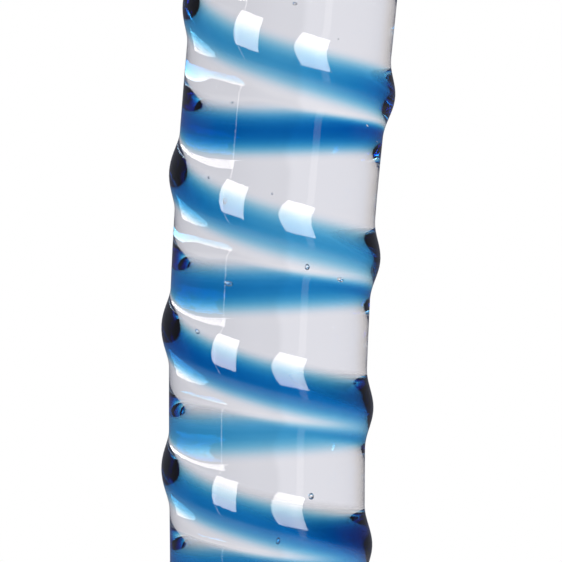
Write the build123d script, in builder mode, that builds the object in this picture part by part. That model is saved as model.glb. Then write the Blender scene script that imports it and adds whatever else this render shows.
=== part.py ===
from build123d import *
import os
from math import cos, pi, sin, sqrt

os.makedirs("parts", exist_ok=True)

# A glass dip pen: a solid clear holder with a raised blue spiral, and a nib that pulls out.
# It stands on its tail. The origin is the middle of the tail's ground flat, and +Z runs
# along the pen towards the nib. Lengths are in millimetres.

# Barrel: a round rod that swells a little towards the grip
neck_height = 12.4
neck_radius = 3.9
barrel_bottom = 20.0
barrel_top = 122.0
barrel_bottom_radius = 4.95
barrel_top_radius = 5.85

# Grip and front face
grip_radius = 5.0
grip_bottom = 129.5
grip_top = 146.0
front_height = 150.0
front_radius = 4.4

# Blue trail: a left-handed helix whose pitch slowly breathes, as hand-laid glass does
trail_turns = 11.5
trail_base = 22.47
trail_pitch = 8.4
trail_swell = 1.91
trail_swell_turns = 10.0
trail_swell_start = 6.75
trail_points_per_turn = 12

# The trail sinks into the rod over part of a turn at both of its ends
trail_fade_turns = 0.7
trail_dive = 0.95

# Ridge section, across the trail: the clear casing over the flat blue ribbon
ridge_half_width = 2.1
ridge_sink = 0.06
ridge_height = 0.44
seat_depth = 0.34
ribbon_half_width = 1.75
ribbon_crown = 0.2

# Tail knop: a flattened ball with a ground flat
foot_radius = 5.3
knop_radius = 6.6
knop_height = 6.2

# Blue threads wound round the holder at the tail and in front of the spiral
tail_ring_height = 14.6
tail_ring_radius = 4.35
tail_ring_thickness = 1.15
grip_ring_height = 126.0
grip_ring_radius = 5.3
grip_ring_thickness = 1.2

# Socket, its soft sleeve and the nib's tenon, which runs in the sleeve
socket_radius = 3.25
socket_bottom = 134.0
sleeve_bottom = 134.5
sleeve_top = 149.5
tenon_radius = 2.5
tenon_clearance = 0.05
tenon_bottom = 135.0

# Nib: soft washer, blue collar and a twisted, fluted head
washer_thickness = 0.8
washer_radius = 4.2
collar_height = 2.6
collar_seat_radius = 3.3
collar_radius = 4.4
head_bottom_radius = 3.1
head_radius = 3.55
head_swell = 0.16
head_length = 23.0
head_twist = 135.0
head_sections = 12
flute_count = 8
flute_depth = 0.14
tip_radius = 0.4

washer_top = front_height + washer_thickness
collar_top = washer_top + collar_height
flute_angle = 360 / flute_count


def barrel_radius(height):
    share = (height - barrel_bottom) / (barrel_top - barrel_bottom)
    return barrel_bottom_radius + share * (barrel_top_radius - barrel_bottom_radius)


def smooth(share):
    held = min(max(share, 0), 1)
    return held * held * (3 - 2 * held)


def trail_point(turn):
    # Middle of the ridge's seat, this many turns above the trail's lower end
    swell = cos(2 * pi * (turn - trail_swell_start) / trail_swell_turns)
    height = trail_base + trail_pitch * turn - trail_swell * swell
    from_end = min(turn, trail_turns - turn)
    depth = ridge_sink + trail_dive * (1 - smooth(from_end / trail_fade_turns))
    radius = barrel_radius(height) - depth
    angle = -2 * pi * turn
    return (radius * cos(angle), radius * sin(angle), height)


def seat_floor(across):
    # Level of the seat's round floor at a distance from its middle
    floor_radius = (ridge_half_width**2 + seat_depth**2) / (2 * seat_depth)
    return floor_radius - seat_depth - sqrt(floor_radius**2 - across**2)


def head_radius_at(share):
    # Radius of the nib's head: a short swell above the collar, then a taper to the tip
    if share < head_swell:
        grown = smooth(share / head_swell)
        return head_bottom_radius + grown * (head_radius - head_bottom_radius)
    left = (1 - share) / (1 - head_swell)
    return tip_radius + (head_radius - tip_radius) * left**0.85


def around(radius, degrees):
    angle = degrees * pi / 180
    return (radius * cos(angle), radius * sin(angle))


def ring_section(radius, height, thickness):
    # Half-section of a thread wound round the axis
    with BuildSketch(Plane.XZ) as section:
        with Locations((radius, height)):
            Circle(thickness)
    return section.sketch


trail_steps = round(trail_turns * trail_points_per_turn)
with BuildLine() as trail_path:
    Spline(*[trail_point(step / trail_points_per_turn) for step in range(trail_steps + 1)])
trail_start = trail_path.line @ 0
trail_tangent = trail_path.line % 0
trail_outward = Vector(trail_start.X, trail_start.Y, 0)
section_plane = Plane(
    origin=trail_start, x_dir=trail_outward.cross(trail_tangent), z_dir=trail_tangent
)

ridge_left = (-ridge_half_width, 0)
ridge_right = (ridge_half_width, 0)
ridge_crest = (0, ridge_sink + ridge_height)
seat_middle = (0, -seat_depth)
ribbon_edge = seat_floor(ribbon_half_width)
ribbon_left = (-ribbon_half_width, ribbon_edge)
ribbon_right = (ribbon_half_width, ribbon_edge)
ribbon_top = (0, ribbon_crown)

tail_ring_section = ring_section(tail_ring_radius, tail_ring_height, tail_ring_thickness)
grip_ring_section = ring_section(grip_ring_radius, grip_ring_height, grip_ring_thickness)

# Blue ribbon, lying on the floor of its seat
with BuildPart() as spiral_trail:
    with BuildSketch(section_plane):
        with BuildLine():
            ThreePointArc(ribbon_left, ribbon_top, ribbon_right)
            ThreePointArc(ribbon_right, seat_middle, ribbon_left)
        make_face()
    sweep(path=trail_path.line, is_frenet=True)
spiral_trail.part.label = "spiral_trail"
export_step(spiral_trail.part, "parts/spiral_trail.step")

# Clear casing over the ribbon, which stands out of the barrel as the ridge
flank = (ridge_half_width + ribbon_half_width) / 2
with BuildPart() as spiral_overlay:
    with BuildSketch(section_plane):
        with BuildLine():
            ThreePointArc(ridge_left, ridge_crest, ridge_right)
            ThreePointArc(ridge_right, (flank, seat_floor(flank)), ribbon_right)
            ThreePointArc(ribbon_right, ribbon_top, ribbon_left)
            ThreePointArc(ribbon_left, (-flank, seat_floor(flank)), ridge_left)
        make_face()
    sweep(path=trail_path.line, is_frenet=True)
spiral_overlay.part.label = "spiral_overlay"
export_step(spiral_overlay.part, "parts/spiral_overlay.step")

# Clear rod from the neck of the tail to the front face, with its seats and its socket
with BuildPart() as barrel_core:
    with BuildSketch(Plane.XZ):
        with BuildLine():
            Line((0, neck_height), (neck_radius, neck_height))
            Bezier(
                (neck_radius, neck_height),
                (neck_radius, neck_height + 3),
                (barrel_bottom_radius, barrel_bottom - 4),
                (barrel_bottom_radius, barrel_bottom),
            )
            Line((barrel_bottom_radius, barrel_bottom), (barrel_top_radius, barrel_top))
            Bezier(
                (barrel_top_radius, barrel_top),
                (barrel_top_radius, barrel_top + 3),
                (grip_radius, grip_bottom - 3),
                (grip_radius, grip_bottom),
            )
            Line((grip_radius, grip_bottom), (grip_radius, grip_top))
            Bezier(
                (grip_radius, grip_top),
                (grip_radius, grip_top + 2.5),
                (grip_radius, front_height),
                (front_radius, front_height),
            )
            Line((front_radius, front_height), (0, front_height))
            Line((0, front_height), (0, neck_height))
        make_face()
    revolve(axis=Axis.Z)
    with BuildSketch(Plane.XY.offset(socket_bottom)):
        Circle(socket_radius)
    extrude(amount=front_height - socket_bottom, mode=Mode.SUBTRACT)
    revolve(tail_ring_section, axis=Axis.Z, mode=Mode.SUBTRACT)
    revolve(grip_ring_section, axis=Axis.Z, mode=Mode.SUBTRACT)
    with BuildSketch(section_plane):
        with BuildLine():
            ThreePointArc(ridge_left, ridge_crest, ridge_right)
            ThreePointArc(ridge_right, seat_middle, ridge_left)
        make_face()
    sweep(path=trail_path.line, is_frenet=True, mode=Mode.SUBTRACT)
barrel_core.part.label = "barrel_core"
export_step(barrel_core.part, "parts/barrel_core.step")

# Clear knop that the pen stands on
with BuildPart() as tail_foot:
    with BuildSketch(Plane.XZ):
        with BuildLine():
            Line((0, 0), (foot_radius, 0))
            Bezier(
                (foot_radius, 0),
                (foot_radius + 0.9, 0.6),
                (knop_radius, knop_height - 3.4),
                (knop_radius, knop_height),
            )
            Bezier(
                (knop_radius, knop_height),
                (knop_radius, knop_height + 3.6),
                (neck_radius, neck_height - 2.4),
                (neck_radius, neck_height),
            )
            Line((neck_radius, neck_height), (0, neck_height))
            Line((0, neck_height), (0, 0))
        make_face()
    revolve(axis=Axis.Z)
tail_foot.part.label = "tail_foot"
export_step(tail_foot.part, "parts/tail_foot.step")

with BuildPart() as tail_ring:
    revolve(tail_ring_section, axis=Axis.Z)
tail_ring.part.label = "tail_ring"
export_step(tail_ring.part, "parts/tail_ring.step")

with BuildPart() as grip_ring:
    revolve(grip_ring_section, axis=Axis.Z)
grip_ring.part.label = "grip_ring"
export_step(grip_ring.part, "parts/grip_ring.step")

# Soft sleeve that lines the socket and grips the tenon
with BuildPart() as socket_sleeve:
    with BuildSketch(Plane.XY.offset(sleeve_bottom)):
        Circle(socket_radius)
        Circle(tenon_radius + tenon_clearance, mode=Mode.SUBTRACT)
    extrude(amount=sleeve_top - sleeve_bottom)
socket_sleeve.part.label = "socket_sleeve"
export_step(socket_sleeve.part, "parts/socket_sleeve.step")

# Nib: tenon, seat for the collar, and the fluted head, twisted as it tapers
with BuildPart() as glass_nib:
    with BuildSketch(Plane.XY.offset(tenon_bottom)):
        Circle(tenon_radius)
    extrude(amount=washer_top - tenon_bottom)
    chamfer(glass_nib.edges().sort_by(Axis.Z)[0], 0.4)
    with BuildSketch(Plane.XY.offset(washer_top)):
        Circle(collar_seat_radius)
    extrude(amount=collar_height)
    for section in range(head_sections + 1):
        share = section / head_sections
        rib = head_radius_at(share)
        groove = rib * (1 - flute_depth)
        with BuildSketch(Plane.XY.offset(collar_top + share * head_length)):
            with BuildLine():
                for flute in range(flute_count):
                    turned = head_twist * share + flute * flute_angle
                    ThreePointArc(
                        around(groove, turned),
                        around(rib, turned + flute_angle / 2),
                        around(groove, turned + flute_angle),
                    )
            make_face()
    loft()
glass_nib.part.label = "glass_nib"
export_step(glass_nib.part, "parts/glass_nib.step")

# Blue collar round the nib's seat, half round outside
with BuildPart() as nib_collar:
    with BuildSketch(Plane.XZ):
        with BuildLine():
            Line((collar_seat_radius, washer_top), (washer_radius, washer_top))
            ThreePointArc(
                (washer_radius, washer_top),
                (collar_radius + 0.4, washer_top + collar_height / 2),
                (washer_radius - 0.3, collar_top),
            )
            Line((washer_radius - 0.3, collar_top), (collar_seat_radius, collar_top))
            Line((collar_seat_radius, collar_top), (collar_seat_radius, washer_top))
        make_face()
    revolve(axis=Axis.Z)
nib_collar.part.label = "nib_collar"
export_step(nib_collar.part, "parts/nib_collar.step")

# Soft washer between the collar and the front face
with BuildPart() as seat_washer:
    with BuildSketch(Plane.XY.offset(front_height)):
        Circle(washer_radius)
        Circle(tenon_radius, mode=Mode.SUBTRACT)
    extrude(amount=washer_thickness)
seat_washer.part.label = "seat_washer"
export_step(seat_washer.part, "parts/seat_washer.step")
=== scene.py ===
import math

import bpy
from mathutils import Matrix, Vector


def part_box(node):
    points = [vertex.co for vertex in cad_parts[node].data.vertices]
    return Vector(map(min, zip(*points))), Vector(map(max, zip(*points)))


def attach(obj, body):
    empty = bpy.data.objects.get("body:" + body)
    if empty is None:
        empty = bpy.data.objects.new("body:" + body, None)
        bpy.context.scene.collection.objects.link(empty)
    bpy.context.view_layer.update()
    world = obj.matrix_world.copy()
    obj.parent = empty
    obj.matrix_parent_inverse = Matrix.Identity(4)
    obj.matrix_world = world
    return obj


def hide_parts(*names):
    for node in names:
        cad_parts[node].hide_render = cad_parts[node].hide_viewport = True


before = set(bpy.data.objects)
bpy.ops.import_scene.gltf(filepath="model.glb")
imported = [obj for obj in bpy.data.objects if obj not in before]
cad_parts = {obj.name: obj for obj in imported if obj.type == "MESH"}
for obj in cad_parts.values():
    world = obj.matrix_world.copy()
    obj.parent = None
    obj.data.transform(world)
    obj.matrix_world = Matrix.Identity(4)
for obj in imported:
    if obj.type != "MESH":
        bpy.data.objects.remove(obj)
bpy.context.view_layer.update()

mm = 0.001
fullTurn = 2 * math.pi
white = (1, 1, 1, 1)

# The blue trail's course up the barrel: a left-handed helix whose pitch slowly breathes.
# The ridge and the two ribbons inside it all follow it.
trail = {
    "base": 22.47 * mm,
    "pitch": 8.4 * mm,
    "swell": 1.91 * mm,  # how far the course runs ahead and behind
    "swellTurns": 10.0,  # from one close stretch of the trail to the next
    "swellStart": 6.75,
    "turns": 11.5,
    "fadeTurns": 0.8,  # the trail thins out over this much at each end
    "climb": 0.972,  # a step straight across the trail divides into this much height
    "lean": 0.233,  # and this much turning
    "rounds": 4,  # of working out which turn a height belongs to
}

# The slow sideways bow of a rod that was drawn and dressed by hand
bow = {
    "reach": 0.38 * mm,
    "length": 50 * mm,  # of one whole wave
    "height": 77.5 * mm,
    "fadeOut": 36 * mm,
    "hold": 1.35,  # the bow has died away this many fade-outs from its height
    "depthShare": 0.5,  # its reach to the front and back
    "depthPace": 0.7,
    "depthStart": 1.1,
}

# The plain taper under the spiral
taper = {
    "bottom": 20 * mm,
    "top": 122 * mm,
    "bottomRadius": 4.95 * mm,
    "topRadius": 5.85 * mm,
}


class Term:  # a number in a node tree, so that a rule can be written as plain arithmetic
    def __init__(self, tree, source):
        self.tree = tree
        self.source = source

    def math(self, operation, *others):
        node = self.tree.nodes.new("ShaderNodeMath")
        node.operation = operation
        for socket, value in zip(node.inputs, (self, *others)):
            feed(self.tree, socket, value)
        return Term(self.tree, node.outputs[0])

    def __add__(self, other):
        return self.math("ADD", other)

    def __sub__(self, other):
        return self.math("SUBTRACT", other)

    def __mul__(self, other):
        return self.math("MULTIPLY", other)

    def __truediv__(self, other):
        return self.math("DIVIDE", other)

    def __neg__(self):
        return self.math("MULTIPLY", -1.0)

    def cosine(self):
        return self.math("COSINE")

    def sine(self):
        return self.math("SINE")

    def clamped(self):
        return self.math("MAXIMUM", 0.0).math("MINIMUM", 1.0)

    def eased(self):
        held = self.clamped()
        return held * held * (-(held * 2.0) + 3.0)


def feed(tree, socket, value):
    if isinstance(value, Term):
        value = value.source
    if isinstance(value, bpy.types.NodeSocket):
        tree.links.new(value, socket)
    else:
        socket.default_value = value


def place(tree, kind, inputs=None, **settings):
    node = tree.nodes.new(kind)
    for name, value in settings.items():
        setattr(node, name, value)
    for name, value in (inputs or {}).items():
        feed(tree, node.inputs[name], value)
    return node


def newGroup(name, kind, inputs, outputs):
    tree = bpy.data.node_groups.new(name, kind)
    for title, socketKind, value in inputs:
        socket = tree.interface.new_socket(title, in_out="INPUT", socket_type=socketKind)
        if value is not None:
            socket.default_value = value
    for title, socketKind in outputs:
        tree.interface.new_socket(title, in_out="OUTPUT", socket_type=socketKind)
    return tree, tree.nodes.new("NodeGroupInput"), tree.nodes.new("NodeGroupOutput")


# A Geometry Nodes rule with one named input for each size
def newRule(name, values):
    kinds = {float: "NodeSocketFloat", int: "NodeSocketInt", bpy.types.Material: "NodeSocketMaterial"}
    inputs = [(title, kinds[type(value)], value) for title, value in values.items()]
    return newGroup(name, "GeometryNodeTree", [("Geometry", "NodeSocketGeometry", None), *inputs],
                    [("Geometry", "NodeSocketGeometry")])


# Runs a rule on a base mesh and keeps the result as a plain piece
def grow(name, base, tree, values, body, replaced):
    seed = bpy.data.objects.new(name + ".base", base)
    bpy.context.scene.collection.objects.link(seed)
    modifier = seed.modifiers.new("rule", "NODES")
    modifier.node_group = tree
    sockets = {item.name: item.identifier for item in tree.interface.items_tree if item.in_out == "INPUT"}
    for title, value in values.items():
        modifier[sockets[title]] = value
    bpy.context.view_layer.update()
    ready = seed.evaluated_get(bpy.context.evaluated_depsgraph_get())
    mesh = bpy.data.meshes.new_from_object(ready)
    seed.modifiers.remove(modifier)
    bpy.data.objects.remove(seed)
    keep(name, mesh, body, replaced, values["Material"])


def keep(name, mesh, body, replaced, material):
    mesh.name = name
    mesh.materials.clear()
    mesh.materials.append(material)
    mesh.shade_smooth()
    piece = bpy.data.objects.new(name, mesh)
    bpy.context.scene.collection.objects.link(piece)
    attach(piece, body)
    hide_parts(*replaced)
    print("made", name, len(mesh.polygons), "faces")


# Outlines are (radius, height) pairs that are turned round the pen's axis
def straight(start, end, spacing):
    count = max(1, round(math.dist(start, end) / spacing))
    return [(start[0] + (end[0] - start[0]) * step / count,
             start[1] + (end[1] - start[1]) * step / count) for step in range(count)]


def curved(start, first, second, end, spacing):
    span = math.dist(start, first) + math.dist(first, second) + math.dist(second, end)
    count = max(3, round(span / spacing))
    points = []
    for step in range(count):
        t = step / count
        weights = ((1 - t) ** 3, 3 * t * (1 - t) ** 2, 3 * t * t * (1 - t), t ** 3)
        points.append(tuple(
            sum(weight * corner[axis] for weight, corner in zip(weights, (start, first, second, end)))
            for axis in (0, 1)))
    return points


# The same outline, going round a thread of glass that is fused onto it
def withRing(points, radius, height, thickness, count):
    def outside(point):
        return math.dist(point, (radius, height)) >= thickness

    inside = [index for index, point in enumerate(points) if not outside(point)]
    before, after = points[:inside[0]], points[inside[-1] + 1:]
    start = math.atan2(before[-1][1] - height, before[-1][0] - radius)
    end = math.atan2(after[0][1] - height, after[0][0] - radius)
    arc = []
    for step in range(1, count):
        angle = start + (end - start) * step / count
        arc.append((radius + thickness * math.cos(angle), height + thickness * math.sin(angle)))
    return softened(before + arc + after, len(before), count)


# Rounds off the two inner corners where the thread meets the rod
def softened(points, begin, count):
    for corner in (begin, begin + count - 1):
        for index in range(corner - 2, corner + 2):
            before, here, after = points[index - 1:index + 2]
            points[index] = tuple((before[k] + 2 * here[k] + after[k]) / 4 for k in (0, 1))
    return points


def oval(radius, height, halfWide, halfTall, steps):
    loop = []
    for step in range(steps + 1):
        angle = fullTurn * (step % steps) / steps
        loop.append((radius + halfWide * math.cos(angle), height + halfTall * math.sin(angle)))
    return loop


# Closed mesh of an outline turned round the axis. It runs from the axis to the axis, or is a loop.
def turned(name, outline, steps):
    loop = outline[0] == outline[-1]
    rings = outline[:-1] if loop else outline[1:-1]
    corners = []
    for radius, height in rings:
        for step in range(steps):
            angle = fullTurn * step / steps
            corners.append((radius * math.cos(angle), radius * math.sin(angle), height))
    faces = []
    rows = len(rings) if loop else len(rings) - 1
    for row in range(rows):
        low, high = row * steps, (row + 1) % len(rings) * steps
        for step in range(steps):
            after = (step + 1) % steps
            faces.append((low + step, low + after, high + after, high + step))
    if not loop:
        first, last = len(corners), len(corners) + 1
        corners += [(0, 0, outline[0][1]), (0, 0, outline[-1][1])]
        top = (len(rings) - 1) * steps
        for step in range(steps):
            after = (step + 1) % steps
            faces.append((first, after, step))
            faces.append((last, top + step, top + after))
    mesh = bpy.data.meshes.new(name)
    mesh.from_pydata(corners, [], faces)
    mesh.validate()
    return mesh


def positionTerms(tree):
    position = tree.nodes.new("GeometryNodeInputPosition").outputs[0]
    spot = place(tree, "ShaderNodeSeparateXYZ", {"Vector": position})
    return tuple(Term(tree, socket) for socket in spot.outputs)


# Height of the trail after a number of turns, the turn it has reached at a height, and its pitch
def courseTerms(tree, inputs):
    base, pitch, swell, swellTurns, swellStart = (
        Term(tree, inputs[title]) for title in ("Base", "Pitch", "Swell", "Swell Turns", "Swell Start"))

    def breath(turn):
        return (turn - swellStart) / swellTurns * fullTurn

    def heightAt(turn):
        return base + pitch * turn - swell * breath(turn).cosine()

    def turnAt(height):
        turn = (height - base) / pitch
        for _ in range(trail["rounds"]):
            turn = (height - base + swell * breath(turn).cosine()) / pitch
        return turn

    def pitchAt(turn):
        return pitch + swell / swellTurns * fullTurn * breath(turn).sine()

    return heightAt, turnAt, pitchAt


courseValues = {
    "Base": trail["base"],
    "Pitch": trail["pitch"],
    "Swell": trail["swell"],
    "Swell Turns": trail["swellTurns"],
    "Swell Start": trail["swellStart"],
    "Turns": trail["turns"],
    "Fade Turns": trail["fadeTurns"],
}


# Sideways shift of the rod's middle line at a height
def makeBowGroup():
    tree, given, result = newGroup("handBow", "GeometryNodeTree", [
        ("Height", "NodeSocketFloat", 0.0),
        ("Reach", "NodeSocketFloat", bow["reach"]),
        ("Length", "NodeSocketFloat", bow["length"]),
        ("Middle", "NodeSocketFloat", bow["height"]),
        ("Fade Out", "NodeSocketFloat", bow["fadeOut"]),
    ], [("Shift", "NodeSocketVector")])
    height = Term(tree, given.outputs["Height"]) - given.outputs["Middle"]
    away = height.math("ABSOLUTE") / given.outputs["Fade Out"]
    held = (-away + bow["hold"]).eased()
    phase = height / given.outputs["Length"] * fullTurn
    sideways = -(phase.cosine() * given.outputs["Reach"] * held)
    slower = phase * bow["depthPace"] + bow["depthStart"]
    forward = slower.sine() * given.outputs["Reach"] * held * bow["depthShare"]
    shift = place(tree, "ShaderNodeCombineXYZ", {"X": sideways, "Y": forward})
    tree.links.new(shift.outputs[0], result.inputs["Shift"])
    return tree


bowGroup = makeBowGroup()


def bowAt(tree, height):
    node = tree.nodes.new("GeometryNodeGroup")
    node.node_tree = bowGroup
    feed(tree, node.inputs["Height"], height)
    return node.outputs["Shift"]


# Places by angle, radius and height round the rod's bowed middle line
def around(tree, angle, radius, height):
    x, y = angle.cosine() * radius, angle.sine() * radius
    flat = place(tree, "ShaderNodeCombineXYZ", {"X": x, "Y": y, "Z": height})
    bowed = place(tree, "ShaderNodeVectorMath", {0: flat.outputs[0], 1: bowAt(tree, height)}, operation="ADD")
    return bowed.outputs[0]


# Slow random changes: the pace of each, and a number that keeps it apart from the others
wandering = {
    "detail": 1.5,
    "ridgeHeight": (2.3, 9.1),
    "ridgeWidth": (1.9, 3.7),
    "rodRadius": (90.0, 5.3),
    "ribbonWidth": (2.6, 21.0),
    "ribbonThickness": (3.1, 33.0),
}


# One of these changes, between -1 and 1
def wander(tree, along, change):
    pace, apart = wandering[change]
    spot = place(tree, "ShaderNodeCombineXYZ", {"X": along * pace, "Y": apart})
    noise = place(tree, "ShaderNodeTexNoise", {
        "Vector": spot.outputs[0], "Scale": 1.0, "Detail": wandering["detail"]})
    return (Term(tree, noise.outputs[0]) - 0.5) * 2.0


def uneven(tree, along, change, share):
    return wander(tree, along, change) * share + 1.0


def finishRule(tree, geometry, material, result):
    realized = place(tree, "GeometryNodeRealizeInstances", {"Geometry": geometry})
    coated = place(tree, "GeometryNodeSetMaterial", {"Geometry": realized.outputs[0], "Material": material})
    tree.links.new(coated.outputs[0], result.inputs["Geometry"])


def newMaterial(name):
    material = bpy.data.materials.new(name)
    material.use_nodes = True
    tree = material.node_tree
    return material, tree, tree.nodes["Principled BSDF"]


# Faint long waves that drawing and fire polishing leave in a glass surface
striae = {
    "fineness": 260.0,  # waves in a metre
    "stretch": 0.12,  # below 1 the waves run long up the pen
    "strength": 0.1,
    "waveDetail": 2.0,
    "bumpDepth": 0.02 * mm,
    "cloudScale": 130.0,  # the soft patches where the colour drifts
    "cloudDetail": 3.0,
    "smearFrom": 0.45,
    "smearTo": 0.8,
}


def makeStriaeGroup():
    tree, given, result = newGroup("drawnStriae", "ShaderNodeTree", [
        ("Fineness", "NodeSocketFloat", striae["fineness"]),
        ("Stretch", "NodeSocketFloat", striae["stretch"]),
        ("Strength", "NodeSocketFloat", striae["strength"]),
        ("Tint", "NodeSocketColor", white),
        ("Pale", "NodeSocketColor", white),
    ], [("Normal", "NodeSocketVector"), ("Colour", "NodeSocketColor"), ("Smear", "NodeSocketFloat")])
    value = given.outputs
    where = tree.nodes.new("ShaderNodeTexCoord").outputs["Object"]
    stretched = place(tree, "ShaderNodeCombineXYZ", {"X": 1.0, "Y": 1.0, "Z": value["Stretch"]})
    drawn = place(tree, "ShaderNodeVectorMath", {0: where, 1: stretched.outputs[0]}, operation="MULTIPLY")
    waves = place(tree, "ShaderNodeTexNoise", {
        "Vector": drawn.outputs[0], "Scale": value["Fineness"], "Detail": striae["waveDetail"]})
    bump = place(tree, "ShaderNodeBump", {
        "Strength": value["Strength"], "Distance": striae["bumpDepth"], "Height": waves.outputs[0]})
    tree.links.new(bump.outputs[0], result.inputs["Normal"])
    clouds = place(tree, "ShaderNodeTexNoise", {
        "Vector": where, "Scale": striae["cloudScale"], "Detail": striae["cloudDetail"]})
    mixed = place(tree, "ShaderNodeMix", {"Factor": clouds.outputs[0]}, data_type="RGBA")
    feed(tree, mixed.inputs[6], value["Tint"])
    feed(tree, mixed.inputs[7], value["Pale"])
    tree.links.new(mixed.outputs[2], result.inputs["Colour"])
    smear = place(tree, "ShaderNodeMapRange", {
        "Value": clouds.outputs[0], "From Min": striae["smearFrom"], "From Max": striae["smearTo"]})
    tree.links.new(smear.outputs[0], result.inputs["Smear"])
    return tree


striaeGroup = makeStriaeGroup()


def addStriae(tree, shader, values, bumpy=True):
    node = tree.nodes.new("ShaderNodeGroup")
    node.node_tree = striaeGroup
    for name, value in values.items():
        node.inputs[name].default_value = value
    tree.links.new(node.outputs["Colour"], shader.inputs["Base Color"])
    if bumpy:
        tree.links.new(node.outputs["Normal"], shader.inputs["Normal"])
    return node


def makeGlass(name, index, values, bumpy=True):
    material, tree, shader = newMaterial(name)
    shader.inputs["Transmission Weight"].default_value = 1.0
    shader.inputs["Roughness"].default_value = 0.0
    shader.inputs["IOR"].default_value = index
    shader.inputs["Metallic"].default_value = 0.0
    addStriae(tree, shader, values, bumpy)
    return material, tree


clearFinish = {
    "index": 1.5,  # how strongly the glass bends light
    "tint": (0.985, 0.985, 0.99, 1),
    "barrelFineness": 260.0,
    "barrelBump": 0.06,
    "nibFineness": 500.0,
    "nibBump": 0.02,
}


def makeClearGlass(name, fineness, bump):
    return makeGlass(name, clearFinish["index"], {
        "Fineness": fineness, "Strength": bump, "Tint": clearFinish["tint"], "Pale": white})[0]


# Blue glass lies inside clear glass of the same kind, so it bends no light and only colours what passes
blueFinish = {
    "index": 1.0,
    "tint": (0.97, 0.985, 1.0, 1),
    "casingColour": (0.04, 0.50, 0.785),
    "heartColour": (0.04, 0.785, 0.93),
    "trailDensity": 7000.0,  # of the colour, per metre of glass
    "ringColour": (0.02, 0.5, 0.8),
    "ringDensity": 3400.0,
}


def makeBlueGlass(name, colour, density):
    material, tree = makeGlass(name, blueFinish["index"], {"Tint": blueFinish["tint"], "Pale": white},
                               bumpy=False)
    depth = tree.nodes.new("ShaderNodeVolumeAbsorption")
    depth.inputs["Color"].default_value = (*colour, 1)
    depth.inputs["Density"].default_value = density
    tree.links.new(depth.outputs[0], tree.nodes["Material Output"].inputs["Volume"])
    return material


siliconeFinish = {
    "index": 1.41,
    "softShare": 0.35,  # of the light that goes in and comes out again
    "softRadius": (1.0, 0.9, 0.8),
    "softDepth": 0.6 * mm,
    "fineness": 3000.0,
    "bump": 0.25,
    "dullest": 0.55,  # roughness where it is handled and where it is not
    "shiniest": 0.38,
    "dark": (0.62, 0.68, 0.74, 1),
    "pale": (0.8, 0.83, 0.86, 1),
}


def makeSilicone(name):
    material, tree, shader = newMaterial(name)
    shader.inputs["Subsurface Weight"].default_value = siliconeFinish["softShare"]
    shader.inputs["Subsurface Radius"].default_value = siliconeFinish["softRadius"]
    shader.inputs["Subsurface Scale"].default_value = siliconeFinish["softDepth"]
    shader.inputs["IOR"].default_value = siliconeFinish["index"]
    node = addStriae(tree, shader, {
        "Fineness": siliconeFinish["fineness"], "Stretch": 1.0, "Strength": siliconeFinish["bump"],
        "Tint": siliconeFinish["dark"], "Pale": siliconeFinish["pale"]})
    rough = place(tree, "ShaderNodeMapRange", {
        "Value": node.outputs["Smear"],
        "To Min": siliconeFinish["shiniest"], "To Max": siliconeFinish["dullest"]})
    tree.links.new(rough.outputs[0], shader.inputs["Roughness"])
    return material


clearGlass = makeClearGlass("clearGlass", clearFinish["barrelFineness"], clearFinish["barrelBump"])
clearNibGlass = makeClearGlass("clearNibGlass", clearFinish["nibFineness"], clearFinish["nibBump"])
casingBlue = makeBlueGlass("blueCasingGlass", blueFinish["casingColour"], blueFinish["trailDensity"])
heartBlue = makeBlueGlass("blueHeartGlass", blueFinish["heartColour"], blueFinish["trailDensity"])
ringBlue = makeBlueGlass("blueRingGlass", blueFinish["ringColour"], blueFinish["ringDensity"])
silicone = makeSilicone("softSilicone")
print("materials ready")

# One fused body of clear glass: the taper with its raised spiral, the grip, the neck and the knop.
# Under and over say how far the outline holds upright before it bends away.
barrelSizes = {
    "stepsAround": 148,
    "spacing": 0.25 * mm,  # between rings of the mesh on the taper
    "bendSpacing": 0.35 * mm,
    "faceSpacing": 0.5 * mm,
    "wallSpacing": 0.75 * mm,
    "flatSpacing": 1.0 * mm,
    "threadSteps": 22,  # over each thread of glass that is fused on
    "footRadius": 5.3 * mm,
    "footLip": 0.25 * mm,
    "footSwell": 0.9 * mm,
    "knopHeight": 6.2 * mm,
    "knopUnder": 3.4 * mm,
    "knopOver": 3.6 * mm,
    "neckRadius": 3.9 * mm,
    "neckUnder": 2.4 * mm,
    "neckOver": 3 * mm,
    "taperUnder": 4 * mm,
    "taperOver": 3 * mm,
    "gripRadius": 5.0 * mm,
    "gripBottom": 129.5 * mm,
    "gripTop": 146 * mm,
    "gripUnder": 3 * mm,
    "gripOver": 2.5 * mm,
    "frontRadius": 4.4 * mm,
    "socketGap": 0.02 * mm,  # between the socket's wall and the sleeve
    "socketDepthBelow": 0.5 * mm,
    "solidRadius": 3.6 * mm,  # the spiral never moves glass nearer the axis than this
    "axisRadius": 0.1 * mm,
    "drift": 0.04 * mm,  # of the rod's radius along the spiral
}

ridge = {
    "height": 0.44 * mm,
    "halfWidth": 2.1 * mm,
    "unevenHeight": 0.16,
    "unevenWidth": 0.10,
}
ridgeValues = {
    "Ridge Height": ridge["height"],
    "Ridge Half Width": ridge["halfWidth"],
    "Uneven Height": ridge["unevenHeight"],
}

bubbles = {
    "count": 46,
    "seed": 7,
    "smallest": 0.035 * mm,  # radius
    "range": 0.14 * mm,  # what the largest has on top of that
    "nearest": 2.6 * mm,  # to the axis
    "farthest": 4.5 * mm,
    "scatter": 2.6 * mm,  # above and below the trail
    "stretch": 1.5,  # drawn long up the pen
    "roundness": 3,
}


def ringPlace(node):
    low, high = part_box(node)
    thickness = (high.z - low.z) / 2
    return high.x - thickness, (low.z + high.z) / 2, thickness


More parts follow.
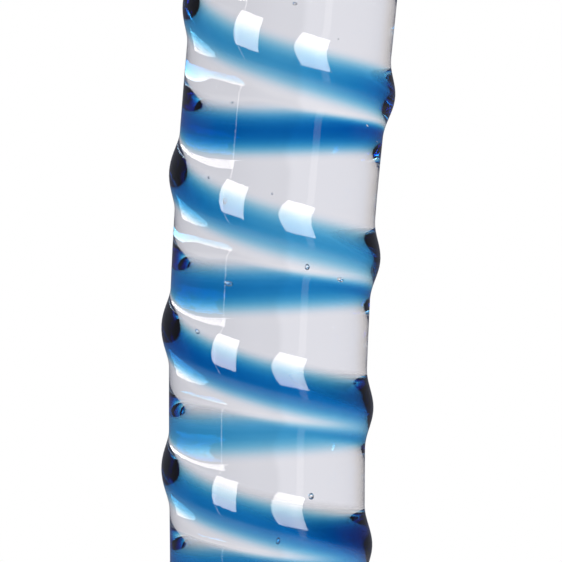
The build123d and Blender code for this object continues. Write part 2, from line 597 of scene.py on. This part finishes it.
# An outline that leaves one corner and reaches the next running straight up
def flowing(start, over, under, end, spacing):
    return curved(start, (start[0], start[1] + over), (end[0], end[1] - under), end, spacing)


def barrelOutline():
    sizes = barrelSizes
    spacing, bend, lip = sizes["spacing"], sizes["bendSpacing"], sizes["footLip"]
    wall, flat = sizes["wallSpacing"], sizes["flatSpacing"]
    tail, core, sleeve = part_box("tail_foot"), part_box("barrel_core"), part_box("socket_sleeve")
    front, bore = core[1].z, sleeve[1].x + sizes["socketGap"]
    bottom = sleeve[0].z - sizes["socketDepthBelow"]
    foot, face = sizes["footRadius"], sizes["frontRadius"]
    knop, neck = (tail[1].x, sizes["knopHeight"]), (sizes["neckRadius"], tail[1].z)
    low, high = (taper["bottomRadius"], taper["bottom"]), (taper["topRadius"], taper["top"])
    gripLow, gripHigh = (sizes["gripRadius"], sizes["gripBottom"]), (sizes["gripRadius"], sizes["gripTop"])
    outline = straight((0, 0), (foot - lip, 0), flat)
    outline += curved((foot - lip, 0), (foot + sizes["footSwell"], 0),
                      (knop[0], knop[1] - sizes["knopUnder"]), knop, bend)
    outline += flowing(knop, sizes["knopOver"], sizes["neckUnder"], neck, bend)
    outline += flowing(neck, sizes["neckOver"], sizes["taperUnder"], low, spacing)
    outline += straight(low, high, spacing)
    outline += flowing(high, sizes["taperOver"], sizes["gripUnder"], gripLow, spacing)
    outline += straight(gripLow, gripHigh, wall)
    outline += curved(gripHigh, (gripHigh[0], gripHigh[1] + sizes["gripOver"]), (gripHigh[0], front),
                      (face, front), bend)
    outline += straight((face, front), (bore + lip, front), sizes["faceSpacing"])
    outline += curved((bore + lip, front), (bore, front), (bore, front), (bore, front - lip), spacing)
    outline += straight((bore, front - lip), (bore, bottom + lip), wall)
    outline += curved((bore, bottom + lip), (bore, bottom), (bore, bottom), (bore - lip, bottom), spacing)
    outline += straight((bore - lip, bottom), (0, bottom), flat)
    outline.append((0, bottom))
    outline = withRing(outline, *ringPlace("tail_ring"), sizes["threadSteps"])
    return withRing(outline, *ringPlace("grip_ring"), sizes["threadSteps"])


barrelValues = {
    **courseValues,
    **ridgeValues,
    "Uneven Width": ridge["unevenWidth"],
    "Drift": barrelSizes["drift"],
    "Solid Radius": barrelSizes["solidRadius"],
    "Bubbles": bubbles["count"],
    "Bubble Seed": bubbles["seed"],
    "Material": clearGlass,
}


def makeBarrelRule():
    tree, given, result = newRule("raisedSpiral", barrelValues)
    value = given.outputs
    heightAt, turnAt, pitchAt = courseTerms(tree, value)
    x, y, height = positionTerms(tree)
    reached = turnAt(height)
    gap = reached + y.math("ARCTAN2", x) / fullTurn
    offset = gap - gap.math("ROUND")  # turns above or below the nearest pass of the trail
    centre = reached - offset
    fromEnd = centre.math("MINIMUM", -centre + value["Turns"])
    strength = (fromEnd / value["Fade Turns"]).eased()
    halfWidth = uneven(tree, centre, "ridgeWidth", value["Uneven Width"]) * value["Ridge Half Width"]
    across = (offset * pitchAt(reached) * trail["climb"]).math("ABSOLUTE") / halfWidth
    crest = (across.clamped() * math.pi).cosine() * 0.5 + 0.5
    unevenHeight = uneven(tree, centre, "ridgeHeight", value["Uneven Height"])
    rise = crest * strength * unevenHeight * value["Ridge Height"]
    drift = wander(tree, height, "rodRadius") * value["Drift"] * strength
    radius = (x * x + y * y).math("SQRT")
    outside = radius.math("GREATER_THAN", value["Solid Radius"])
    grown = (rise + drift) * outside / radius.math("MAXIMUM", barrelSizes["axisRadius"])
    outward = place(tree, "ShaderNodeCombineXYZ", {"X": x * grown, "Y": y * grown}).outputs[0]
    moved = place(tree, "ShaderNodeVectorMath", {0: outward, 1: bowAt(tree, height)}, operation="ADD")
    shaped = place(tree, "GeometryNodeSetPosition", {
        "Geometry": value["Geometry"], "Offset": moved.outputs[0]})
    joined = tree.nodes.new("GeometryNodeJoinGeometry")
    tree.links.new(scatteredBubbles(tree, value, heightAt), joined.inputs[0])
    tree.links.new(shaped.outputs[0], joined.inputs[0])
    finishRule(tree, joined.outputs[0], value["Material"], result)
    return tree


# Tiny bubbles caught beside the trail. Their faces look into the bubble, away from the glass.
def scatteredBubbles(tree, value, heightAt):
    points = place(tree, "GeometryNodePoints", {"Count": value["Bubbles"]})

    def chance(salt, low, high):
        node = tree.nodes.new("FunctionNodeRandomValue")
        node.data_type = "FLOAT"
        node.inputs[2].default_value, node.inputs[3].default_value = low, high
        feed(tree, node.inputs["Seed"], Term(tree, value["Bubble Seed"]) + salt)
        return Term(tree, node.outputs[1])

    turn = chance(0.0, 1.0, trail["turns"] - 1.0)
    height = heightAt(turn) + chance(1.0, -bubbles["scatter"], bubbles["scatter"])
    angle = -(turn * fullTurn)
    radius = chance(2.0, bubbles["nearest"], bubbles["farthest"])
    spots = around(tree, angle, radius, height)
    placed = place(tree, "GeometryNodeSetPosition", {"Geometry": points.outputs[0], "Position": spots})
    ball = place(tree, "GeometryNodeMeshIcoSphere", {
        "Radius": 1.0, "Subdivisions": bubbles["roundness"]})
    hollow = place(tree, "GeometryNodeFlipFaces", {"Mesh": ball.outputs[0]})
    size = chance(3.0, 0.0, 1.0)
    scale = size * size * size * bubbles["range"] + bubbles["smallest"]
    longer = place(tree, "ShaderNodeCombineXYZ", {"X": scale, "Y": scale, "Z": scale * bubbles["stretch"]})
    spread = place(tree, "GeometryNodeInstanceOnPoints", {
        "Points": placed.outputs[0], "Instance": hollow.outputs[0], "Scale": longer.outputs[0]})
    return place(tree, "GeometryNodeRealizeInstances", {"Geometry": spread.outputs[0]}).outputs[0]


grow("barrelGlass", turned("barrelBase", barrelOutline(), barrelSizes["stepsAround"]), makeBarrelRule(),
     barrelValues, "pen", ("barrel_core", "spiral_overlay", "tail_foot"))
print("barrel made")

ribbonShape = {
    "pulse": 0.36,  # the glass was laid on thicker and thinner
    "pulseTurns": 1.35,  # from one thick place to the next
    "pulsePeak": 7.75,  # the turn with a thick place
    "flatness": 4.8,  # how thin the ribbon's section runs out towards its edges
    "edgeShare": 0.03,  # of the section that stays a plain oval
    "thinnest": 0.05,
    "sunkEnds": 0.6 * mm,
    "tipTurns": 0.0001,  # each end closes to a point over this much
    "weld": 0.00001 * mm,
    "stepsAlong": 1400,
    "stepsAcross": 29,
}

# The wide pale casing of the trail, just under the skin of the ridge
casing = {
    "halfWidth": 1.62 * mm,
    "thickness": 0.24 * mm,
    "skin": 0.06 * mm,
    "unevenWidth": 0.16,
    "unevenThickness": 0.12,
}

# The narrow deep heart of the trail, below the casing
heart = {
    "halfWidth": 1.42 * mm,
    "thickness": 0.38 * mm,
    "skin": 0.43 * mm,
    "unevenWidth": 0.22,
    "unevenThickness": 0.16,
}


def ribbonValues(sizes, material):
    return {
        **courseValues,
        **ridgeValues,
        "Half Width": sizes["halfWidth"],
        "Thickness": sizes["thickness"],
        "Skin": sizes["skin"],
        "Uneven Width": sizes["unevenWidth"],
        "Uneven Thickness": sizes["unevenThickness"],
        "Edge Share": ribbonShape["edgeShare"],
        "Thinnest": ribbonShape["thinnest"],
        "Sunk Ends": ribbonShape["sunkEnds"],
        "Pulse": ribbonShape["pulse"],
        "Pulse Turns": ribbonShape["pulseTurns"],
        "Pulse Peak": ribbonShape["pulsePeak"],
        "Steps Along": ribbonShape["stepsAlong"],
        "Steps Across": ribbonShape["stepsAcross"],
        "Weld": ribbonShape["weld"],
        "Material": material,
    }


def makeRibbonRule():
    tree, given, result = newRule("laidRibbon", ribbonValues(casing, casingBlue))
    value = given.outputs
    heightAt = courseTerms(tree, value)[0]
    sheet = place(tree, "GeometryNodeMeshGrid", {
        "Size X": 1.0, "Size Y": 1.0,
        "Vertices X": value["Steps Along"], "Vertices Y": value["Steps Across"]})
    along, over = positionTerms(tree)[:2]
    turn = (along + 0.5) * value["Turns"]
    roundSection = (over + 0.5) * fullTurn
    fromEnd = turn.math("MINIMUM", -turn + value["Turns"]) / value["Fade Turns"]
    atTip = fromEnd.math("LESS_THAN", ribbonShape["tipTurns"])
    strength = fromEnd.eased().math("MAXIMUM", value["Thinnest"]) * (-atTip + 1.0)
    halfWidth = uneven(tree, turn, "ribbonWidth", value["Uneven Width"]) * value["Half Width"] * strength
    beat = ((turn - value["Pulse Peak"]) / value["Pulse Turns"] * fullTurn).cosine() * value["Pulse"] + 1.0
    laidOn = wander(tree, turn, "ribbonThickness") * value["Uneven Thickness"] + beat
    thickness = laidOn * value["Thickness"] * strength
    across = roundSection.cosine() * halfWidth
    # a lens section, flat side up: the colour thins out towards both edges of the ribbon
    rim = roundSection.sine().math("ABSOLUTE")
    lens = (rim.math("POWER", ribbonShape["flatness"]) * (-Term(tree, value["Edge Share"]) + 1.0)
            + rim * value["Edge Share"])
    below = roundSection.sine().math("LESS_THAN", 0.0)
    crest = ((across / value["Ridge Half Width"]).math("ABSOLUTE").clamped() * math.pi).cosine() * 0.5 + 0.5
    unevenHeight = uneven(tree, turn, "ridgeHeight", value["Uneven Height"])
    cover = crest * strength * unevenHeight * value["Ridge Height"]
    height = heightAt(turn) + across * trail["climb"]
    share = (height - taper["bottom"]) / (taper["top"] - taper["bottom"])
    surface = share * (taper["topRadius"] - taper["bottomRadius"]) + taper["bottomRadius"]
    sunk = (-strength + 1.0) * value["Sunk Ends"]
    radius = surface + cover - value["Skin"] - lens * below * thickness - sunk
    angle = -(turn * fullTurn) + across * trail["lean"] / surface
    shaped = place(tree, "GeometryNodeSetPosition", {
        "Geometry": sheet.outputs[0], "Position": around(tree, angle, radius, height)})
    closed = place(tree, "GeometryNodeMergeByDistance", {
        "Geometry": shaped.outputs[0], "Distance": value["Weld"]})
    finishRule(tree, closed.outputs[0], value["Material"], result)
    return tree


ribbonRule = makeRibbonRule()


def layRibbon(name, sizes, material):
    grow(name, bpy.data.meshes.new(name + "Base"), ribbonRule, ribbonValues(sizes, material),
         "pen", ("spiral_trail",))


layRibbon("blueTrail", casing, casingBlue)
layRibbon("blueTrailHeart", heart, heartBlue)
print("blue trail laid")

# The coloured heart of a wound thread, just inside its clear skin
ringSizes = {"skin": 0.1 * mm, "stepsAround": 96, "stepsRound": 32}


def makeRing(name, node):
    radius, height, thickness = ringPlace(node)
    blue = thickness - ringSizes["skin"]
    loop = oval(radius, height, blue, blue, ringSizes["stepsRound"])
    keep(name, turned(name, loop, ringSizes["stepsAround"]), "pen", (node,), ringBlue)


makeRing("tailRing", "tail_ring")
makeRing("gripRing", "grip_ring")
print("rings made")

# The nib: a tenon, a bead for the collar and a twisted, fluted writing head
nibSizes = {
    "flutes": 8,
    "depth": 0.16,  # share of the radius that each flute takes
    "fluteSharpness": 2.2,  # above 1 the flutes are narrower than the lands between them
    "fluteStart": 7.0,  # how quickly the flutes deepen above the collar
    "twist": math.radians(135),
    "stepsAround": 192,
    "spacing": 0.16 * mm,  # between rings of the mesh on the head
    "faceSpacing": 0.32 * mm,
    "wallSpacing": 0.48 * mm,
    "tenonRadius": 2.5 * mm,
    "tenonChamfer": 0.4 * mm,
    "seatRadius": 4.2 * mm,
    "beadRadius": 4.8 * mm,
    "beadUnder": 0.4 * mm,
    "beadOver": 0.5 * mm,
    "headBottomRadius": 3.1 * mm,
    "headRadius": 3.55 * mm,
    "swell": 0.16,  # the head is widest at this share of its height
    "slimming": 0.85,  # below 1 its sides are full, above 1 they are hollow
    "tipRadius": 0.4 * mm,
    "tipHeight": 0.05 * mm,
    "tipRound": (0.9, 0.5),  # shares of the tip's radius
    "tipSpacing": 0.16 / 3 * mm,
}


def headRadiusAt(share):
    swell = nibSizes["swell"]
    low, high, tip = nibSizes["headBottomRadius"], nibSizes["headRadius"], nibSizes["tipRadius"]
    if share < swell:
        grown = share / swell
        return low + grown * grown * (3 - 2 * grown) * (high - low)
    left = (1 - share) / (1 - swell)
    return tip + (high - tip) * left ** nibSizes["slimming"]


def nibOutline():
    spacing, chamfer = nibSizes["spacing"], nibSizes["tenonChamfer"]
    faceSpacing, wallSpacing = nibSizes["faceSpacing"], nibSizes["wallSpacing"]
    low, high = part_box("glass_nib")
    washerTop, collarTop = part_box("nib_collar")[0].z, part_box("nib_collar")[1].z
    tenon, seat, bead = nibSizes["tenonRadius"], nibSizes["seatRadius"], nibSizes["beadRadius"]
    middle = (washerTop + collarTop) / 2
    outline = straight((0, low.z), (tenon - chamfer, low.z), faceSpacing)
    outline += straight((tenon - chamfer, low.z), (tenon, low.z + chamfer), spacing)
    outline += straight((tenon, low.z + chamfer), (tenon, washerTop), wallSpacing)
    outline += straight((tenon, washerTop), (seat, washerTop), faceSpacing)
    outline += curved((seat, washerTop), (bead, washerTop), (bead, middle - nibSizes["beadUnder"]),
                      (bead, middle), spacing)
    outline += curved((bead, middle), (bead, middle + nibSizes["beadOver"]), (seat, collarTop),
                      (headRadiusAt(0), collarTop), spacing)
    rows = round((high.z - collarTop) / spacing)
    for row in range(rows):
        share = row / rows
        outline.append((headRadiusAt(share), collarTop + share * (high.z - collarTop)))
    tip, (outer, inner) = nibSizes["tipRadius"], nibSizes["tipRound"]
    outline += curved((tip, high.z - nibSizes["tipHeight"]), (tip * outer, high.z), (tip * inner, high.z),
                      (0, high.z), nibSizes["tipSpacing"])
    outline.append((0, high.z))
    return outline


fluteValues = {
    "Flutes": nibSizes["flutes"],
    "Depth": nibSizes["depth"],
    "Sharpness": nibSizes["fluteSharpness"],
    "Start": nibSizes["fluteStart"],
    "Twist": nibSizes["twist"],
    "Bottom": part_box("nib_collar")[1].z,
    "Top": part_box("glass_nib")[1].z,
    "Material": clearNibGlass,
}


def makeFluteRule():
    tree, given, result = newRule("twistedFlutes", fluteValues)
    value = given.outputs
    x, y, height = positionTerms(tree)
    share = (height - value["Bottom"]) / (Term(tree, value["Top"]) - value["Bottom"])
    angle = y.math("ARCTAN2", x) - share.clamped() * value["Twist"]
    wave = (angle * value["Flutes"]).cosine() * 0.5 + 0.5
    groove = wave.math("POWER", value["Sharpness"]) * value["Depth"] * (share * value["Start"]).eased()
    inward = place(tree, "ShaderNodeCombineXYZ", {"X": -(x * groove), "Y": -(y * groove)}).outputs[0]
    shaped = place(tree, "GeometryNodeSetPosition", {"Geometry": value["Geometry"], "Offset": inward})
    finishRule(tree, shaped.outputs[0], value["Material"], result)
    return tree


grow("nibGlass", turned("nibBase", nibOutline(), nibSizes["stepsAround"]), makeFluteRule(),
     fluteValues, "nib", ("glass_nib",))

# The blue heart of the collar, an oval thread inside the nib's bead
collarSizes = {
    "radius": 3.75 * mm,
    "halfWide": 0.85 * mm,
    "halfTall": 1.05 * mm,
    "stepsAround": 96,
    "stepsRound": 28,
}


def makeCollar():
    low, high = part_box("nib_collar")
    loop = oval(collarSizes["radius"], (low.z + high.z) / 2, collarSizes["halfWide"], collarSizes["halfTall"],
                collarSizes["stepsRound"])
    mesh = turned("nibCollar", loop, collarSizes["stepsAround"])
    keep("nibCollar", mesh, "nib", ("nib_collar",), ringBlue)


makeCollar()
print("nib made")

# The soft sleeve in the socket. The gap is the clearance to its CAD box, and the lip rounds its rims.
sleeveSizes = {"gap": 0.06 * mm, "bore": 2.55 * mm, "lip": 0.12 * mm, "spacing": 0.4 * mm, "stepsAround": 72}


def makeSleeve():
    low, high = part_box("socket_sleeve")
    outer, inner, lip = high.x - sleeveSizes["gap"], sleeveSizes["bore"], sleeveSizes["lip"]
    corners = [(inner + lip, high.z), (inner, high.z - lip), (inner, low.z + lip), (inner + lip, low.z),
               (outer - lip, low.z), (outer, low.z + lip), (outer, high.z - lip), (outer - lip, high.z)]
    loop = []
    for start, end in zip(corners, corners[1:] + corners[:1]):
        loop += straight(start, end, sleeveSizes["spacing"])
    mesh = turned("socketSleeve", loop + loop[:1], sleeveSizes["stepsAround"])
    keep("socketSleeve", mesh, "pen", ("socket_sleeve",), silicone)


makeSleeve()

# The soft washer under the collar, with a rounded outer edge
washerSizes = {"bore": 2.53 * mm, "lip": 0.05 * mm, "stepsAround": 96, "edgeSteps": 12, "boreSteps": 4}


def makeWasher():
    low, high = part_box("seat_washer")
    middle, half, lip = (low.z + high.z) / 2, (high.z - low.z) / 2, washerSizes["lip"]
    loop = []
    for step in range(washerSizes["edgeSteps"] + 1):
        angle = math.pi * (step / washerSizes["edgeSteps"] - 0.5)
        loop.append((high.x - half + half * math.cos(angle), middle + half * math.sin(angle)))
    for step in range(washerSizes["boreSteps"] + 1):
        loop.append((washerSizes["bore"], high.z - lip - 2 * (half - lip) * step / washerSizes["boreSteps"]))
    mesh = turned("seatWasher", loop + loop[:1], washerSizes["stepsAround"])
    keep("seatWasher", mesh, "nib", ("seat_washer",), silicone)


makeWasher()
print("soft parts made")

floorSizes = {
    "radius": 0.3,
    "steps": 96,
    "dark": 0.58,  # the two greys of the paper
    "pale": 0.62,
    "roughness": 0.7,
    "speckle": 40.0,
    "speckleDetail": 4.0,
    "fadeFrom": 0.3,  # shares of the radius
    "fadeTo": 0.95,
}

# The room round the pen. Each step has a start, a width and how much it changes the light.
room = {
    "backWall": (-0.26, 0.45, 1.0),
    "ceiling": (0.7, 0.2, -0.4),
    "ground": (-0.75, 0.25, 0.9),
    "groundLevel": 0.1,
    "leftSide": (-0.35, 0.3, 0.045),
    "leftHalf": (0.05, 0.06, 0.075),
    "warmEdge": (0.72, 0.2, -0.12),
    "level": 0.68,
    "mirroredShare": 0.15,  # how much of the wall the outside of the glass mirrors
    "green": (0.4, 0.59),  # the part of it that follows the warm edge, and the rest
    "blue": 1.02,
    "dark": (0.008, 0.016, 0.048),  # what is left in front of the pen
}

lampHeight = 78 * mm  # the height that every lamp faces
lampDistance = 0.6
lampColour = (1.0, 0.95, 0.91)

# Azimuth and elevation in degrees from the front, width and height in metres, power in watts
lamps = {
    "softboxLeft": (-43.0, 21.0, 0.30, 0.42, 4.2),
    "softboxRight": (32.0, 21.0, 0.37, 0.42, 4.4),
    "stripLeft": (-54.0, 4.0, 0.012, 0.9, 0.15),
    "stripRight": (40.0, -4.0, 0.09, 0.9, 0.3),
}


# A round sheet of pale paper that fades into the white room
def makeFloor():
    steps, radius = floorSizes["steps"], floorSizes["radius"]
    angles = [fullTurn * step / steps for step in range(steps)]
    mesh = bpy.data.meshes.new("floor")
    rim = [(radius * math.cos(angle), radius * math.sin(angle), 0) for angle in angles]
    mesh.from_pydata(rim, [], [tuple(range(steps))])
    material, tree, shader = newMaterial("palePaper")
    where = tree.nodes.new("ShaderNodeTexCoord").outputs["Object"]
    noise = place(tree, "ShaderNodeTexNoise", {
        "Scale": floorSizes["speckle"], "Detail": floorSizes["speckleDetail"], "Vector": where})
    tone = place(tree, "ShaderNodeMapRange", {
        "Value": noise.outputs[0], "To Min": floorSizes["dark"], "To Max": floorSizes["pale"]})
    grey = place(tree, "ShaderNodeCombineColor", {0: tone.outputs[0], 1: tone.outputs[0], 2: tone.outputs[0]})
    tree.links.new(grey.outputs[0], shader.inputs["Base Color"])
    shader.inputs["Roughness"].default_value = floorSizes["roughness"]
    distance = place(tree, "ShaderNodeVectorMath", {0: where}, operation="LENGTH")
    far = place(tree, "ShaderNodeMapRange", {
        "Value": distance.outputs["Value"],
        "From Min": radius * floorSizes["fadeFrom"], "From Max": radius * floorSizes["fadeTo"]})
    far.interpolation_type = "SMOOTHSTEP"
    clear = tree.nodes.new("ShaderNodeBsdfTransparent")
    faded = place(tree, "ShaderNodeMixShader", {0: far.outputs[0], 1: shader.outputs[0], 2: clear.outputs[0]})
    tree.links.new(faded.outputs[0], tree.nodes["Material Output"].inputs["Surface"])
    mesh.materials.append(material)
    floor = bpy.data.objects.new("floor", mesh)
    bpy.context.scene.collection.objects.link(floor)


# White behind the pen, dark in front of it, so that the glass keeps deep edges
def makeWorld():
    world = bpy.data.worlds.new("studioWorld")
    bpy.context.scene.world = world
    world.use_nodes = True
    tree = world.node_tree
    where = tree.nodes.new("ShaderNodeTexCoord").outputs["Generated"]
    direction = place(tree, "ShaderNodeSeparateXYZ", {"Vector": where})
    right, behind, up = (Term(tree, socket) for socket in direction.outputs)
    left = -right

    def step(along, name):
        start, width, change = room[name]
        return ((along - start) / width).eased() * change

    wall = step(behind, "backWall") * (step(up, "ceiling") + 1.0) * (step(up, "ground") + room["groundLevel"])
    level = step(left, "leftSide") + step(left, "leftHalf") + room["level"]
    warm = step(left, "warmEdge") + 1.0
    path = tree.nodes.new("ShaderNodeLightPath")
    mirror = Term(tree, path.outputs["Is Reflection Ray"]) * path.outputs["Is Glossy Ray"]
    mirrored = -(mirror * (1.0 - room["mirroredShare"])) + 1.0
    soft = wall * level * mirrored
    greenWarmth, green = room["green"]
    colour = place(tree, "ShaderNodeCombineColor", {
        0: soft + room["dark"][0],
        1: soft * (warm * greenWarmth + green) + room["dark"][1],
        2: soft * warm * room["blue"] + room["dark"][2]})
    mixed = place(tree, "ShaderNodeMix", {"Factor": path.outputs["Is Camera Ray"]}, data_type="RGBA")
    feed(tree, mixed.inputs[6], colour.outputs[0])
    feed(tree, mixed.inputs[7], white)
    tree.links.new(mixed.outputs[2], tree.nodes["Background"].inputs["Color"])


def makeLamp(name, azimuth, elevation, width, height, power):
    lamp = bpy.data.lights.new(name, "AREA")
    lamp.shape = "RECTANGLE"
    lamp.size, lamp.size_y, lamp.energy = width, height, power
    lamp.color = lampColour
    light = bpy.data.objects.new(name, lamp)
    across, rise = math.radians(azimuth), math.radians(elevation)
    away = Vector((math.sin(across) * math.cos(rise), -math.cos(across) * math.cos(rise), math.sin(rise)))
    spot = Vector((0, 0, lampHeight)) + away * lampDistance
    light.matrix_world = Matrix.Translation(spot) @ away.to_track_quat("Z", "Y").to_matrix().to_4x4()
    light.visible_camera = False
    bpy.context.scene.collection.objects.link(light)


makeFloor()
makeWorld()
for name, settings in lamps.items():
    makeLamp(name, *settings)
print("studio ready")

# A long lens from far away, so the rod's sides stay almost parallel
cameraSizes = {
    "lens": 600.0,
    "sensor": 36.0,
    "frameHeight": 30.7 * mm,
    "across": 0.17 * mm,
    "height": 78 * mm,
    "elevation": math.radians(9.0),
    "roll": math.radians(2.66),
    "nearest": 0.01,
    "farthest": 50.0,
}


def makeCamera():
    sizes = cameraSizes
    data = bpy.data.cameras.new("camera")
    data.lens, data.sensor_width = sizes["lens"], sizes["sensor"]
    data.clip_start, data.clip_end = sizes["nearest"], sizes["farthest"]
    camera = bpy.data.objects.new("camera", data)
    bpy.context.scene.collection.objects.link(camera)
    distance = sizes["frameHeight"] * sizes["lens"] / sizes["sensor"]
    back, rise = distance * math.cos(sizes["elevation"]), distance * math.sin(sizes["elevation"])
    spot = Matrix.Translation(Vector((sizes["across"], -back, sizes["height"] + rise)))
    facing = Matrix.Rotation(math.radians(90) - sizes["elevation"], 4, "X")
    camera.matrix_world = spot @ facing @ Matrix.Rotation(sizes["roll"], 4, "Z")
    bpy.context.scene.camera = camera


makeCamera()
scene = bpy.context.scene
scene.view_settings.view_transform = "Standard"
scene.cycles.max_bounces = 32  # light crosses many skins of glass
scene.cycles.transmission_bounces = 32
scene.cycles.glossy_bounces = 16
print("camera ready")

print("scene ready")
